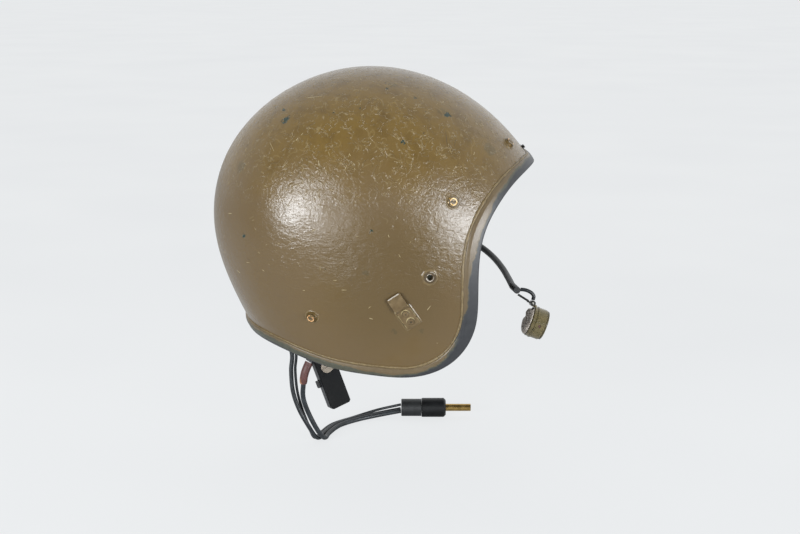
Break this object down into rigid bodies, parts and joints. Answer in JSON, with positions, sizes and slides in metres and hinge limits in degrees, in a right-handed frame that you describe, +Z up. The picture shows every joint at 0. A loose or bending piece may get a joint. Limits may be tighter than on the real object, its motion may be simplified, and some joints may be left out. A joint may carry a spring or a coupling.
{
  "type": "tank crew helmet",
  "caption": "Open-face crew helmet with rubber edge trim, foam lining, sprung ear cups, a swinging boom microphone, a talk box under the nape and a plug on leads.",
  "frame": {"origin": "middle of the wearer's head, midway between the two ear cups; nothing of the part is there, because a head holds the helmet", "axes": "+X forward, +Y the wearer's left, +Z up"},
  "size_m": [0.2992, 0.2531, 0.3534],
  "materials": {
    "shell_paint": "hand-painted semi-gloss over glass fibre",
    "trim_rubber": "matt, worn",
    "liner_foam": "open foam",
    "pad_leather": "soft, creased",
    "brass": "tarnished",
    "zinc_steel": "dull",
    "dark_steel": "semi-matt",
    "old_brass": "dull, paint on it",
    "clip_paint": "painted over",
    "black_plastic": "satin",
    "seal_vinyl": "soft vinyl",
    "lead_rubber": "satin",
    "mic_paint": "gloss",
    "mic_grey": "crinkled",
    "webbing": "woven",
    "disc_metal": "dull",
    "sleeve_brown": "dull",
    "barrel_metal": "polished"
  },
  "bodies": {
    "helmet": {"shell": "shell_paint", "edge_trim": "trim_rubber", "liner": "liner_foam", "crown_pad": "pad_leather", "brow_pad": "pad_leather", "back_pad": "pad_leather", "side_pads": "pad_leather", "liner_screws": "brass", "cup_washers": "brass", "screw_nuts": "zinc_steel", "brow_stud": "dark_steel", "eyelet_right": "old_brass", "eyelet_left": "old_brass", "lead_clip_right": "clip_paint", "lead_clip_left": "clip_paint", "clip_rivets": "clip_paint", "cup_hanger_right": "zinc_steel", "cup_hanger_left": "zinc_steel", "boom_screw": "zinc_steel", "boom_washer": "trim_rubber", "strap_anchors": "zinc_steel", "nape_block": "black_plastic", "box_bracket": "dark_steel", "box_case": "black_plastic", "box_cover": "black_plastic", "box_disc": "disc_metal", "box_switch": "black_plastic", "lead_headset": "lead_rubber", "lead_thin": "lead_rubber", "lead_tail": "lead_rubber", "lead_sleeve": "sleeve_brown", "plug_boot": "trim_rubber", "plug_handle": "black_plastic", "plug_barrel": "barrel_metal"},
    "ear_right": {"ear_cup_right": "black_plastic", "ear_seal_right": "seal_vinyl", "earphone_right": "black_plastic", "earphone_foam_right": "liner_foam"},
    "ear_left": {"ear_cup_left": "black_plastic", "ear_seal_left": "seal_vinyl", "earphone_left": "black_plastic", "earphone_foam_left": "liner_foam"},
    "boom": {"boom_hub": "dark_steel", "boom_arm": "dark_steel", "boom_tip": "black_plastic", "mic_yoke": "dark_steel", "mic_pin": "zinc_steel", "mic_lead": "lead_rubber"},
    "knob": {"boom_knob": "black_plastic"},
    "mic": {"mic_case": "mic_paint", "mic_front": "mic_grey", "mic_element": "zinc_steel", "mic_back": "mic_paint", "mic_screw": "old_brass"},
    "strap_right": {"chin_strap_right": "webbing", "strap_snap": "dark_steel"},
    "strap_left": {"chin_strap_left": "webbing", "strap_buckle": "dark_steel"},
    "button": {"talk_button": "black_plastic"}
  },
  "joints": [
    {"name": "ear_right_slide", "type": "slide", "parent": "helmet", "child": "ear_right", "axis": [0, -1, 0], "range_m": [0, 0.0035], "stiffness_N_per_m": 1500, "springref_m": -0.002},
    {"name": "ear_left_slide", "type": "slide", "parent": "helmet", "child": "ear_left", "axis": [0, 1, 0], "range_m": [0, 0.0035], "stiffness_N_per_m": 1500, "springref_m": -0.002},
    {"name": "boom_swing", "type": "hinge", "parent": "helmet", "child": "boom", "pos_m": [0.029, 0.11499, -0.006], "axis": [-0.1512, -0.9877, 0.0389], "range_deg": [-15, 45]},
    {"name": "knob_turn", "type": "hinge", "parent": "helmet", "child": "knob", "pos_m": [0.029, 0.11499, -0.006], "axis": [0.1512, 0.9877, -0.0389], "continuous": true},
    {"name": "mic_tilt", "type": "hinge", "parent": "boom", "child": "mic", "pos_m": [0.12535, 0.00341, -0.0596], "axis": [0.0888, -0.9743, 0.207], "range_deg": [-20, 20]},
    {"name": "strap_right_swing", "type": "hinge", "parent": "helmet", "child": "strap_right", "pos_m": [0.04, -0.10732, -0.056], "axis": [0.1945, -0.9613, -0.195], "range_deg": [-170, 0]},
    {"name": "strap_left_swing", "type": "hinge", "parent": "helmet", "child": "strap_left", "pos_m": [0.04, 0.10732, -0.056], "axis": [0.1945, 0.9613, -0.195], "range_deg": [0, 170]},
    {"name": "talk_press", "type": "slide", "parent": "helmet", "child": "button", "axis": [0.8526, 0.4313, 0.295], "range_m": [0, 0.0015], "stiffness_N_per_m": 400, "springref_m": -0.0008}
  ]
}
